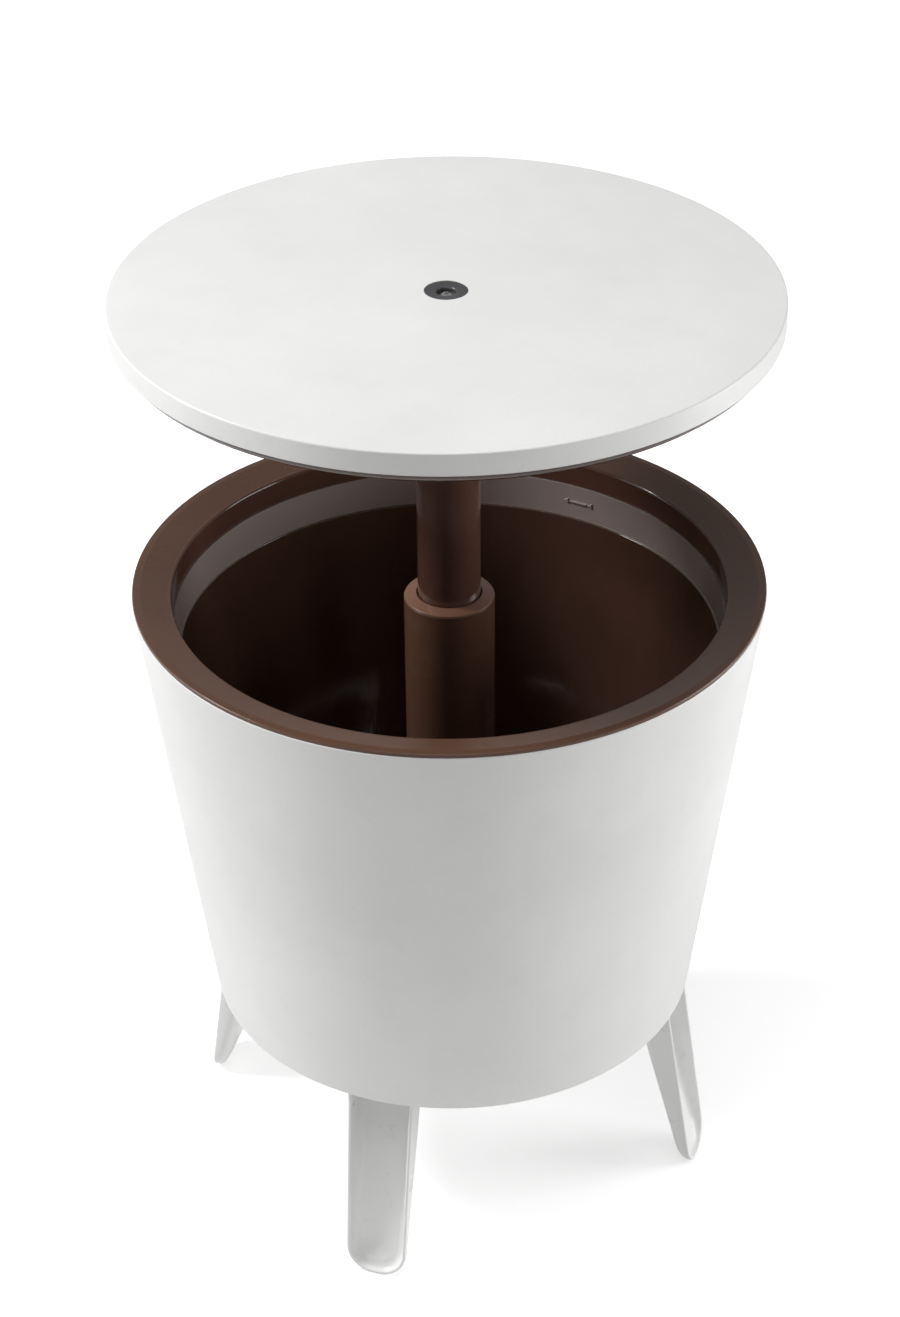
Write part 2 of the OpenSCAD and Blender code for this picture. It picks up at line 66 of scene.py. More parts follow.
LEG_NODES = ("right_leg", "back_leg", "left_leg", "front_leg")
SCREW_NODES = (
    "underside_screws", "hub_screws", "sleeve_screws", "rim_screws",
    "base_screws", "leg_screws", "retainer_washer", "retainer_screw",
)

# Levels that most finishes share
# Paleness that edges are painted towards: partly scuffing, partly a painted highlight
SCUFF_AND_HIGHLIGHT_LEVEL = 0.9
DUST_COLOUR = (0.45, 0.43, 0.4)
DUST_SHARE = 0.05
FLECK_GRAINS = 2.2
COAT_ROUGHNESS = 0.12

# The camera that the object was measured with; the focal length is in pixels of a picture this high
PICTURE_H = 1317
CAMERA_DISTANCE = 1.91753
CAMERA_HEIGHT = 1.69192
CAMERA_PITCH = 0.571157
CAMERA_ROLL = -0.010299
CAMERA_TURN = math.radians(17.7)
CAMERA_FOCAL = 2900
SENSOR = 36
CLIP_START = 0.05
LAMP_AIM = Vector((0, 0, 0.42))


class CoolerFinish(bpy.types.PropertyGroup):
    """Colours of the table's materials"""

    white: bpy.props.FloatVectorProperty(
        name="White", description="White plastic of the top, casing and legs",
        subtype="COLOR", size=3, min=0, max=1, default=(0.87, 0.87, 0.86))
    brown: bpy.props.FloatVectorProperty(
        name="Brown", description="Satin brown plastic of the rim, guide and sleeve",
        subtype="COLOR", size=3, min=0, max=1, default=(0.178, 0.089, 0.055))
    gloss_brown: bpy.props.FloatVectorProperty(
        name="Gloss brown", description="Glossy dark brown plastic of the bucket and pole",
        subtype="COLOR", size=3, min=0, max=1, default=(0.078, 0.038, 0.026))
    band: bpy.props.FloatVectorProperty(
        name="Band", description="Matte plastic of the band under the bucket's mouth",
        subtype="COLOR", size=3, min=0, max=1, default=(0.34, 0.265, 0.245))
    grey: bpy.props.FloatVectorProperty(
        name="Grey", description="Grey plastic of the cup, plugs and drain cap",
        subtype="COLOR", size=3, min=0, max=1, default=(0.06, 0.06, 0.064))
    steel: bpy.props.FloatVectorProperty(
        name="Steel", description="Plated steel of the bolt, nut and screws",
        subtype="COLOR", size=3, min=0, max=1, default=(0.62, 0.62, 0.61))


class CoolerSurface(bpy.types.PropertyGroup):
    """Sizes of the table's surface detail"""

    grain: bpy.props.FloatProperty(
        name="Grain", description="Width of a grain in the moulded plastic",
        subtype="DISTANCE", min=0.0002, max=0.003, default=0.0007)
    grain_depth: bpy.props.FloatProperty(
        name="Grain depth", description="Depth of the grain in the moulded plastic",
        subtype="DISTANCE", min=0, max=0.0003, default=0.00004)
    edge: bpy.props.FloatProperty(
        name="Edge", description="Radius of the small rounding along moulded edges",
        subtype="DISTANCE", min=0.0001, max=0.002, default=0.0007)
    # How strongly edges are painted paler: partly scuffing, partly a painted highlight
    scuff_and_highlight: bpy.props.FloatProperty(
        name="Wear", description="Strength of the rubbed look along edges",
        subtype="FACTOR", min=0, max=1, default=0.35)


class CoolerLeg(bpy.types.PropertyGroup):
    """Sizes of a leg, as in the part's source"""

    top_width: bpy.props.FloatProperty(
        name="Top width", description="Width of a leg under the base plate",
        subtype="DISTANCE", min=0.04, max=0.07, default=0.054)
    foot_width: bpy.props.FloatProperty(
        name="Foot width", description="Width of a leg above its foot",
        subtype="DISTANCE", min=0.04, max=0.06, default=0.0495)
    top_depth: bpy.props.FloatProperty(
        name="Top depth", description="Depth of a leg under the base plate",
        subtype="DISTANCE", min=0.02, max=0.04, default=0.031)
    foot_depth: bpy.props.FloatProperty(
        name="Foot depth", description="Depth of a leg at its foot",
        subtype="DISTANCE", min=0.008, max=0.016, default=0.0097)
    lean: bpy.props.FloatProperty(
        name="Lean", description="Outward slope of a leg",
        min=0, max=0.3, default=0.147)
    wall: bpy.props.FloatProperty(
        name="Wall", description="Wall of a leg",
        subtype="DISTANCE", min=0.002, max=0.005, default=0.003)
    corner: bpy.props.FloatProperty(
        name="Corner", description="Radius of the foot's round corners",
        subtype="DISTANCE", min=0.005, max=0.024, default=0.022)
    scoop: bpy.props.FloatProperty(
        name="Scoop", description="Width of the soft bend between a leg's side and its back",
        subtype="DISTANCE", min=0.002, max=0.02, default=0.007)


class CoolerStage(bpy.types.PropertyGroup):
    """Sizes and levels of the studio"""

    floor_size: bpy.props.FloatProperty(
        name="Floor", description="Width of the floor",
        subtype="DISTANCE", min=4, max=60, default=30)
    ambient: bpy.props.FloatProperty(
        name="Ambient", description="Level of the light from all round",
        min=0, max=2, default=0.2)
    gloss: bpy.props.FloatProperty(
        name="Gloss", description="Level of the studio that glossy surfaces show",
        min=0, max=1, default=0.3)
    near_fill: bpy.props.FloatProperty(
        name="Near fill",
        description="Glow the camera sees in the floor by the table, low enough for a shadow",
        min=0, max=1, default=0.42)
    far_fill: bpy.props.FloatProperty(
        name="Far fill", description="Glow the camera sees in the floor far from the table",
        min=0, max=1, default=0.84)
    key_light: bpy.props.FloatProperty(
        name="Key light", description="Power of the lamp high on the left",
        unit="POWER", min=0, max=200, default=51)
    right_light: bpy.props.FloatProperty(
        name="Right light", description="Power of the tall lamp on the right",
        unit="POWER", min=0, max=200, default=23)
    left_light: bpy.props.FloatProperty(
        name="Left light", description="Power of the tall lamp on the left",
        unit="POWER", min=0, max=200, default=5)
    top_light: bpy.props.FloatProperty(
        name="Top light", description="Power of the wide lamp high in front of the table",
        unit="POWER", min=0, max=200, default=14)


def combine(tree, kind, first, second):
    """One sum of two values or sockets"""
    node = tree.nodes.new("ShaderNodeMath")
    node.operation = kind
    for socket, value in zip(node.inputs, (first, second)):
        if isinstance(value, bpy.types.NodeSocket):
            tree.links.new(value, socket)
        else:
            socket.default_value = value
    return node.outputs[0]


class Shader:
    """A node tree with short calls to add, link and set nodes"""

    edge_samples = 6
    edge_turn = (0.82, 0.995)

    def __init__(self, name):
        self.material = bpy.data.materials.new(name)
        self.material.use_nodes = True
        self.tree = self.material.node_tree
        self.tree.nodes.clear()
        self.output = self.tree.nodes.new("ShaderNodeOutputMaterial")
        self.surface = self.tree.nodes.new("ShaderNodeBsdfPrincipled")
        self.link(self.surface.outputs[0], self.output.inputs[0])
        self.place = self.tree.nodes.new("ShaderNodeTexCoord").outputs["Object"]

    def link(self, source, target):
        """Links two sockets"""
        self.tree.links.new(source, target)

    def set(self, node, **values):
        """Sets or links sockets by name, with an underscore for each space"""
        for name, value in values.items():
            socket = node.inputs[name.replace("_", " ")]
            if isinstance(value, bpy.types.NodeSocket):
                self.link(value, socket)
            else:
                socket.default_value = value
        return node

    def stretched(self, scale):
        """The place on the piece, scaled along each axis"""
        node = self.tree.nodes.new("ShaderNodeMapping")
        self.link(self.place, node.inputs["Vector"])
        node.inputs["Scale"].default_value = scale
        return node.outputs[0]

    def noise(self, scale, detail=3, roughness=0.55, vector=None):
        """Cloudy noise, about 0.3 to 0.7"""
        node = self.tree.nodes.new("ShaderNodeTexNoise")
        self.link(vector or self.place, node.inputs["Vector"])
        self.set(node, Scale=scale, Detail=detail, Roughness=roughness)
        return node.outputs["Fac"]

    def cells(self, scale):
        """Rounded cells, for the grain of a mould"""
        node = self.tree.nodes.new("ShaderNodeTexVoronoi")
        self.link(self.place, node.inputs["Vector"])
        self.set(node, Scale=scale)
        return node.outputs["Distance"]

    def span(self, value, low, high, to_low, to_high, smooth=False):
        """Maps one range on another"""
        node = self.tree.nodes.new("ShaderNodeMapRange")
        node.interpolation_type = "SMOOTHSTEP" if smooth else "LINEAR"
        self.link(value, node.inputs["Value"])
        limits = {"From Min": low, "From Max": high, "To Min": to_low, "To Max": to_high}
        for name, number in limits.items():
            node.inputs[name].default_value = number
        return node.outputs["Result"]

    def math(self, kind, first, second):
        """One sum of two values or sockets in this material"""
        return combine(self.tree, kind, first, second)

    def mix(self, factor, first, second):
        """Mixes two colours"""
        node = self.tree.nodes.new("ShaderNodeMix")
        node.data_type = "RGBA"
        self.link(factor, node.inputs[0])
        for socket, value in ((node.inputs[6], first), (node.inputs[7], second)):
            if isinstance(value, bpy.types.NodeSocket):
                self.link(value, socket)
            else:
                socket.default_value = (*value[:3], 1)
        return node.outputs[2]

    def height(self):
        """Height above the floor"""
        node = self.tree.nodes.new("ShaderNodeSeparateXYZ")
        self.link(self.place, node.inputs[0])
        return node.outputs["Z"]

    def radius(self):
        """Distance from the table's axis"""
        flat = self.stretched((1, 1, 0))
        node = self.tree.nodes.new("ShaderNodeVectorMath")
        node.operation = "LENGTH"
        self.link(flat, node.inputs[0])
        return node.outputs["Value"]

    def edges(self, radius):
        """A rounded normal and a mask that is 1 on edges"""
        bevel = self.tree.nodes.new("ShaderNodeBevel")
        bevel.samples = self.edge_samples
        bevel.inputs["Radius"].default_value = radius
        plain = self.tree.nodes.new("ShaderNodeNewGeometry")
        dot = self.tree.nodes.new("ShaderNodeVectorMath")
        dot.operation = "DOT_PRODUCT"
        self.link(bevel.outputs[0], dot.inputs[0])
        self.link(plain.outputs["Normal"], dot.inputs[1])
        mask = self.span(dot.outputs["Value"], *self.edge_turn, 1, 0, smooth=True)
        return bevel.outputs[0], mask

    def bump(self, height, distance, normal, strength=1.0):
        """A normal that follows a small relief"""
        node = self.tree.nodes.new("ShaderNodeBump")
        self.set(node, Strength=strength, Distance=distance, Height=height, Normal=normal)
        return node.outputs[0]


def shade(colour, factor):
    """A lighter or darker colour"""
    return tuple(min(1, channel * factor) for channel in colour)


def scuff_and_highlight_tint(colour, share):
    """A paler colour for edges: partly scuffing, partly a painted highlight"""
    return tuple(channel + (SCUFF_AND_HIGHLIGHT_LEVEL - channel) * share for channel in colour)


def clouded(shader, cloud, low, high, colour, dark, light):
    """A colour that drifts between a darker and a lighter one"""
    return shader.mix(shader.span(cloud, low, high, 0, 1), shade(colour, dark), shade(colour, light))


def moulded_plastic(name, colour, roughness, depth=1.0, streaks=0.0, coat=0.0):
    """Plastic with a fine grain, slow colour changes, paler edges that are partly scuffing and partly a
    painted highlight, and, if asked, upright streaks
    """
    surface = bpy.context.scene.cooler_surface
    shader = Shader(name)
    normal, edge = shader.edges(surface.edge)
    cloud = shader.noise(scale=7)
    fleck = shader.noise(scale=1 / surface.grain / FLECK_GRAINS, detail=2)
    body = clouded(shader, cloud, 0.35, 0.7, colour, 0.96, 1.03)
    body = shader.mix(shader.span(fleck, 0.56, 0.75, 0, 0.5), body, shade(colour, 0.9))
    # Edges painted paler: partly scuffing, partly a painted highlight
    highlit_and_scuffed = shader.math("MULTIPLY", edge, surface.scuff_and_highlight)
    body = shader.mix(highlit_and_scuffed, body, scuff_and_highlight_tint(colour, 0.22))
    grey_dust = shader.span(shader.noise(scale=38, detail=4, roughness=0.7), 0.55, 0.8, 0, DUST_SHARE)
    body = shader.mix(grey_dust, body, DUST_COLOUR)
    rough = shader.span(shader.noise(scale=55, detail=4), 0.3, 0.7, roughness * 0.88, roughness * 1.14)
    relief = shader.cells(1 / surface.grain)
    rounded = shader.bump(relief, surface.grain_depth * depth, normal)
    if streaks:
        drawn = shader.noise(scale=60, vector=shader.stretched((1, 1, 0.02)))
        rough = shader.math("ADD", rough, shader.span(drawn, 0.35, 0.7, -streaks * 0.5, streaks))
        rounded = shader.bump(drawn, 0.0002 * streaks, rounded)
    shader.set(shader.surface, Base_Color=body, Roughness=rough, Normal=rounded)
    shader.surface.inputs["Coat Weight"].default_value = coat
    shader.surface.inputs["Coat Roughness"].default_value = COAT_ROUGHNESS
    return shader.material


def bucket_plastic(name, gloss_colour, matte_colour, band_low, band_high):
    """Glossy brown wall with a matte band under the mouth"""
    surface = bpy.context.scene.cooler_surface
    shader = Shader(name)
    normal, edge = shader.edges(surface.edge)
    z = shader.height()
    over = shader.span(z, band_low - 0.0004, band_low + 0.0004, 0, 1)
    under = shader.span(z, band_high - 0.0002, band_high + 0.0002, 1, 0)
    band = shader.math("MULTIPLY", over, under)
    drawn = shader.noise(scale=34, detail=4, vector=shader.stretched((1, 1, 0.04)))
    cloud = shader.noise(scale=9)
    glossy = clouded(shader, cloud, 0.3, 0.7, gloss_colour, 0.85, 1.2)
    matte = clouded(shader, cloud, 0.3, 0.7, matte_colour, 0.94, 1.06)
    body = shader.mix(band, glossy, matte)
    # The band's ledges and other edges are painted paler: mostly a painted highlight, partly scuffing
    body = shader.mix(shader.math("MULTIPLY", edge, surface.scuff_and_highlight * 2), body, scuff_and_highlight_tint(matte_colour, 0.3))
    rough_gloss = shader.span(drawn, 0.3, 0.7, 0.05, 0.13)
    rough = shader.math("ADD", rough_gloss, shader.math("MULTIPLY", band, 0.42))
    wave = shader.bump(drawn, 0.001, normal, 0.6)
    relief = shader.cells(1 / surface.grain)
    grain = shader.math("MULTIPLY", relief, band)
    shader.set(shader.surface, Base_Color=body, Roughness=rough,
               Normal=shader.bump(grain, surface.grain_depth * 1.5, wave))
    shader.surface.inputs["Specular IOR Level"].default_value = 1
    return shader.material


def rim_plastic(name, satin_colour, gloss_colour, mouth_radius):
    """Satin brown top of the rim ring, and the glossy wall that steps down inside it"""
    surface = bpy.context.scene.cooler_surface
    shader = Shader(name)
    normal, edge = shader.edges(surface.edge)
    inside = shader.span(shader.radius(), mouth_radius + 0.0008, mouth_radius + 0.0016, 1, 0)
    cloud = shader.noise(scale=8)
    satin = clouded(shader, cloud, 0.3, 0.7, satin_colour, 0.93, 1.06)
    scuffs = shader.noise(scale=420, roughness=0.7, vector=shader.stretched((1, 0.25, 1)))
    satin = shader.mix(shader.span(scuffs, 0.66, 0.78, 0, 0.25), satin, shade(satin_colour, 1.7))
    glossy = clouded(shader, cloud, 0.3, 0.7, gloss_colour, 0.85, 1.2)
    body = shader.mix(inside, satin, glossy)
    # Edges painted paler: thin painted highlights along the rim's edges, with a little scuffing
    body = shader.mix(shader.math("MULTIPLY", edge, surface.scuff_and_highlight * 1.6), body, scuff_and_highlight_tint(satin_colour, 0.3))
    rough = shader.span(shader.noise(scale=55, detail=4), 0.3, 0.7, 0.2, 0.28)
    rough = shader.math("SUBTRACT", rough, shader.math("MULTIPLY", inside, 0.12))
    relief = shader.math("MULTIPLY", shader.cells(1 / surface.grain), shader.math("SUBTRACT", 1, inside))
    shader.set(shader.surface, Base_Color=body, Roughness=rough,
               Normal=shader.bump(relief, surface.grain_depth * 0.6, normal))
    shader.surface.inputs["Specular IOR Level"].default_value = 0.45
    return shader.material


def metal(name, colour, roughness, turned=0.0):
    """Plated steel with fine turning marks, small stains and edges painted lighter as a highlight"""
    surface = bpy.context.scene.cooler_surface
    shader = Shader(name)
    normal, edge = shader.edges(surface.edge * 0.4)
    stain = shader.noise(scale=320, detail=4, roughness=0.65)
    body = clouded(shader, stain, 0.4, 0.75, colour, 1, 0.72)
    # Edges painted lighter: a painted highlight
    body = shader.mix(shader.math("MULTIPLY", edge, 0.6), body, shade(colour, 1.25))
    rough = shader.span(shader.noise(scale=700), 0.3, 0.7, roughness * 0.8, roughness * 1.3)
    marks = shader.noise(scale=2600, detail=2, vector=shader.stretched((0.12, 0.12, 1)))
    shader.surface.inputs["Metallic"].default_value = 1
    shader.set(shader.surface, Base_Color=body, Roughness=rough,
               Normal=shader.bump(marks, 0.00002 + 0.00004 * turned, normal))
    return shader.material


def rubber(name):
    """Matte black rubber with a bloom"""
    shader = Shader(name)
    bloom = shader.noise(scale=260, detail=4, roughness=0.6)
    body = shader.mix(shader.span(bloom, 0.35, 0.75, 0, 1), (0.018, 0.018, 0.018), (0.045, 0.044, 0.042))
    rough = shader.span(bloom, 0.3, 0.7, 0.7, 0.9)
    normal, _ = shader.edges(0.0003)
    shader.set(shader.surface, Base_Color=body, Roughness=rough,
               Normal=shader.bump(bloom, 0.00005, normal))
    return shader.material


def dress(material, *nodes):
    """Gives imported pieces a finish"""
    for node in nodes:
        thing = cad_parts[node]
        thing.data.materials.clear()
        thing.data.materials.append(material)


def area_lamp(name, place, target, width, height, power):
    """A soft lamp that looks at a point"""
    lamp = bpy.data.lights.new(name, "AREA")
    lamp.shape = "RECTANGLE"
    lamp.size = width
    lamp.size_y = height
    lamp.energy = power
    thing = bpy.data.objects.new(name, lamp)
    thing.location = place
    thing.rotation_euler = (Vector(target) - Vector(place)).to_track_quat("-Z", "Y").to_euler()
    bpy.context.scene.collection.objects.link(thing)


class LegShell:
    """The shell of the leg on +X: a long tray, open to the outside, with a soft inner bend"""

    foot_steps = 3
    corner_steps = 14
    side_steps = 24
    bend_steps = 8
    rim_steps = 8
    scoop_steps = 12
    across_steps = 7
    back_bend = 0.008
    deepest_scoop = 0.014
    gap_under_casing = 0.0008
    plate = 0.005
    plate_inset = 0.0022
    plate_lap = 0.001
    sharp_angle = math.radians(50)

    def __init__(self, size):
        self.size = size
        self.top = LEG_HIGH.z
        self.start = LEG_HIGH.x - CASING_FOOT * size.lean

    def out(self, z):
        """How far out the leg's outer edge lies at a height"""
        return self.start + (CASING_FOOT - z) * self.size.lean

    def depth(self, z):
        """The leg's depth at a height"""
        size = self.size
        return size.foot_depth + (size.top_depth - size.foot_depth) * z / self.top

    def half(self, z):
        """Half the leg's width at a height"""
        size = self.size
        return (size.foot_width + (size.top_width - size.foot_width) * z / self.top) / 2

    def outline(self):
        """Points (y, z) and inward directions, from the middle of the foot up one side"""
        corner = self.size.corner
        flat = self.half(corner) - corner
        rows = [(flat * step / self.foot_steps, 0, (0, 1)) for step in range(self.foot_steps)]
        for step in range(self.corner_steps + 1):
            angle = math.radians(-90 + 90 * step / self.corner_steps)
            y, z = flat + corner * math.cos(angle), corner + corner * math.sin(angle)
            rows.append((y, z, (-math.cos(angle), -math.sin(angle))))
        ceiling = CASING_FOOT - self.gap_under_casing
        for step in range(1, self.side_steps + 1):
            z = corner + (ceiling - corner) * step / self.side_steps
            rows.append((self.half(z), z, (-1, 0)))
        return rows

    def section(self, y, z, inward):
        """One side's points, from the outer back round the rim to the inner back"""
        size = self.size
        front = self.out(z)
        depth = self.depth(z)
        points = []

        def add(inset, back):
            """One more point, so far in from the outline and so far back from the front"""
            step = min(inset, max(y, 0.0001) if inward[0] else inset)
            points.append((front - back, y + inward[0] * step, z + inward[1] * inset))

        bend = min(self.back_bend, depth - 0.001)
        for step in range(self.bend_steps + 1):
            angle = math.radians(90 - 90 * step / self.bend_steps)
            add(bend * (1 - math.cos(angle)), depth - bend + bend * math.sin(angle))
        rim = size.wall / 2
        for step in range(self.rim_steps + 1):
            angle = math.radians(180 * step / self.rim_steps)
            add(rim - rim * math.cos(angle), rim * 0.8 - rim * 0.8 * math.sin(angle))
        inner = depth - size.wall
        drop = min(inner - rim * 0.8, self.deepest_scoop)
        for step in range(self.scoop_steps + 1):
            angle = math.radians(90 * step / self.scoop_steps)
            add(size.wall + size.scoop * (1 - math.cos(angle)), inner - drop + drop * math.sin(angle))
        return points

    def mesh(self, material):
        """The closed shell, with its plate under the base plate"""
        across = self.across_steps
        build = bmesh.new()
        grid = []
        for y, z, inward in self.outline():
            side = self.section(y, z, inward)
            inner_end, outer_end = side[-1], side[0]
            ring = [Vector(point) for point in side]
            for step in range(1, across):
                share = step / across
                ring.append(Vector((inner_end[0], inner_end[1] * (1 - 2 * share), inner_end[2])))
            ring += [Vector((point[0], -point[1], point[2])) for point in reversed(side)]
            for step in range(1, across):
                share = step / across
                ring.append(Vector((outer_end[0], -outer_end[1] * (1 - 2 * share), outer_end[2])))
            grid.append([build.verts.new(point) for point in ring])
        self.cap(build, grid)
        for low, high in zip(grid, grid[1:]):
            for place in range(len(low)):
                after = (place + 1) % len(low)
                build.faces.new((low[place], low[after], high[after], high[place]))
        bmesh.ops.remove_doubles(build, verts=build.verts, dist=0.00002)
        bmesh.ops.recalc_face_normals(build, faces=build.faces)
        mesh = bpy.data.meshes.new("leg_shell")
        build.to_mesh(mesh)
        build.free()
        mesh.materials.append(material)
        mesh.shade_smooth()
        mesh.set_sharp_from_angle(angle=self.sharp_angle)
        return mesh

    def cap(self, build, grid):
        """Adds the plate that closes the leg under the base plate"""
        y, z, inward = self.outline()[-1]
        top_ring = grid[-1]
        side = self.section(y, z, inward)
        level = []
        for vert in top_ring:
            reach = math.sqrt(BASE_PLATE_RADIUS ** 2 - vert.co.y ** 2)
            level.append(build.verts.new((min(vert.co.x, reach), vert.co.y, self.top)))
        for place in range(len(top_ring)):
            after = (place + 1) % len(top_ring)
            build.faces.new((top_ring[place], top_ring[after], level[after], level[place]))
        build.faces.new(level)
        plate_z = self.top - self.plate
        half = side[-self.scoop_steps - 1][1]
        back = side[-1][0] - self.plate_lap
        front = BASE_PLATE_RADIUS - self.plate_inset
        square = ((back, -half), (back, half), (front, half), (front, -half))
        low = [build.verts.new((*corner, plate_z)) for corner in square]
        high = [build.verts.new((*corner, self.top)) for corner in square]
        build.faces.new(low)
        build.faces.new(list(reversed(high)))
        for place in range(4):
            after = (place + 1) % 4
            build.faces.new((low[place], low[after], high[after], high[place]))


class COOLER_OT_table_top(bpy.types.Operator):
    """Finish the white top, its brown underside and the hub"""

    bl_idname = "cooler.table_top"
    bl_label = "Table Top"

    def execute(self, context):
        finish = context.scene.cooler_finish
        underside = shade(finish.gloss_brown, 0.8)
        dress(moulded_plastic("white_top", finish.white, roughness=0.36, depth=0.7), "tabletop_cover")
        glossy = moulded_plastic("underside_brown", underside, roughness=0.14, depth=0.15, coat=0.6)
        dress(glossy, "tabletop_underside")
        dress(moulded_plastic("hub_brown", finish.brown, roughness=0.42), "table_hub")
        return {"FINISHED"}


class COOLER_OT_centre_fixing(bpy.types.Operator):
    """Finish the grey cup, the bolt and the nut in the table's centre"""

    bl_idname = "cooler.centre_fixing"
    bl_label = "Centre Fixing"

    def execute(self, context):
        finish = context.scene.cooler_finish
        dress(moulded_plastic("cup_grey", finish.grey, roughness=0.32, depth=0.3), "centre_cup")
        dress(metal("bolt_bright", shade(finish.steel, 1.2), roughness=0.16, turned=1), "centre_bolt")
        dress(metal("nut_steel", finish.steel, roughness=0.34), "centre_nut")
        return {"FINISHED"}


class COOLER_OT_pole(bpy.types.Operator):
    """Finish the pole, its plugs and the lock collar"""

    bl_idname = "cooler.pole"
    bl_label = "Pole"

    def execute(self, context):
        finish = context.scene.cooler_finish
        # The pole is a lighter copy of the bucket's gloss brown: painted light
        tube_painted_light = shade(finish.gloss_brown, 1.35)
        glossy = moulded_plastic("pole_brown", tube_painted_light, roughness=0.11, depth=0.08, streaks=0.06, coat=0.8)
        dress(glossy, "pole")
        plain = moulded_plastic("plug_grey", finish.grey, roughness=0.45)
        dress(plain, "pole_head", "pole_foot", "lock_collar")
        return {"FINISHED"}


class COOLER_OT_sleeve(bpy.types.Operator):
    """Finish the fixed sleeve and the guide in its mouth"""

    bl_idname = "cooler.sleeve"
    bl_label = "Sleeve"

    def execute(self, context):
        finish = context.scene.cooler_finish
        # The guide is a lighter and the sleeve a darker copy of the one brown: painted light on the guide's
        # top, painted shade on the sleeve
        sleeve_brown_painted_shade = shade(finish.brown, 0.7)
        guide_brown_painted_light = shade(finish.brown, 1.35)
        dress(moulded_plastic("sleeve_brown_painted_shade", sleeve_brown_painted_shade, roughness=0.24, depth=0.4), "sleeve")
        dress(moulded_plastic("guide_brown_painted_light", guide_brown_painted_light, roughness=0.3, depth=0.6), "sleeve_guide")
        return {"FINISHED"}


class COOLER_OT_bucket(bpy.types.Operator):
    """Finish the brown bucket and the rim ring"""

    bl_idname = "cooler.bucket"
    bl_label = "Bucket and Rim"

    def execute(self, context):
        finish = context.scene.cooler_finish
        band_high = RIM_LOW.z
        band_low = band_high - BAND_HEIGHT
        mouth_radius = RIM_HIGH.x - RIM_WIDTH
        # The rim is a darker copy of the satin brown: painted shade
        rim_brown_painted_shade = shade(finish.brown, 0.68)
        step_brown = shade(finish.gloss_brown, 1.5)
        dress(bucket_plastic("bucket_brown", finish.gloss_brown, finish.band, band_low, band_high), "liner")
        dress(rim_plastic("rim_brown_painted_shade", rim_brown_painted_shade, step_brown, mouth_radius), "rim_ring")
        return {"FINISHED"}


class COOLER_OT_casing(bpy.types.Operator):
    """Finish the white casing and the base plate"""

    bl_idname = "cooler.casing"
    bl_label = "Casing"

    def execute(self, context):
        finish = context.scene.cooler_finish
        dress(moulded_plastic("white_casing", finish.white, roughness=0.4, depth=0.6), "casing")
        dress(moulded_plastic("white_base", shade(finish.white, 0.95), roughness=0.48), "base_plate")
        return {"FINISHED"}


class COOLER_OT_legs(bpy.types.Operator):
    """Build the four legs as thin shells with a scooped recess and a round foot"""

    bl_idname = "cooler.legs"
    bl_label = "Legs"

    def execute(self, context):
        finish = context.scene.cooler_finish
        # The legs are a lighter copy of the white: painted light for the floor's bounce
        material = moulded_plastic("white_leg", shade(finish.white, 1.03), roughness=0.3, depth=0.35)
        mesh = LegShell(context.scene.cooler_leg).mesh(material)
        for turn, node in enumerate(LEG_NODES):
            leg = bpy.data.objects.new(node + "_shell", mesh)
            leg.rotation_euler.z = math.radians(90 * turn)
            context.scene.collection.objects.link(leg)
            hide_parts(node)
            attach(leg, "cooler")
        return {"FINISHED"}


class COOLER_OT_drain(bpy.types.Operator):
    """Finish the drain cap and its gasket"""

    bl_idname = "cooler.drain"
    bl_label = "Drain"

    def execute(self, context):
        finish = context.scene.cooler_finish
        dress(moulded_plastic("drain_grey", finish.grey, roughness=0.4), "drain_cap")
        dress(rubber("gasket_rubber"), "drain_gasket")
        return {"FINISHED"}


class COOLER_OT_screws(bpy.types.Operator):
    """Finish the screws and the washer on the pole's foot"""

    bl_idname = "cooler.screws"
    bl_label = "Screws"

    def execute(self, context):
        finish = context.scene.cooler_finish
        dress(metal("screw_steel", finish.steel, roughness=0.36), *SCREW_NODES)
        return {"FINISHED"}


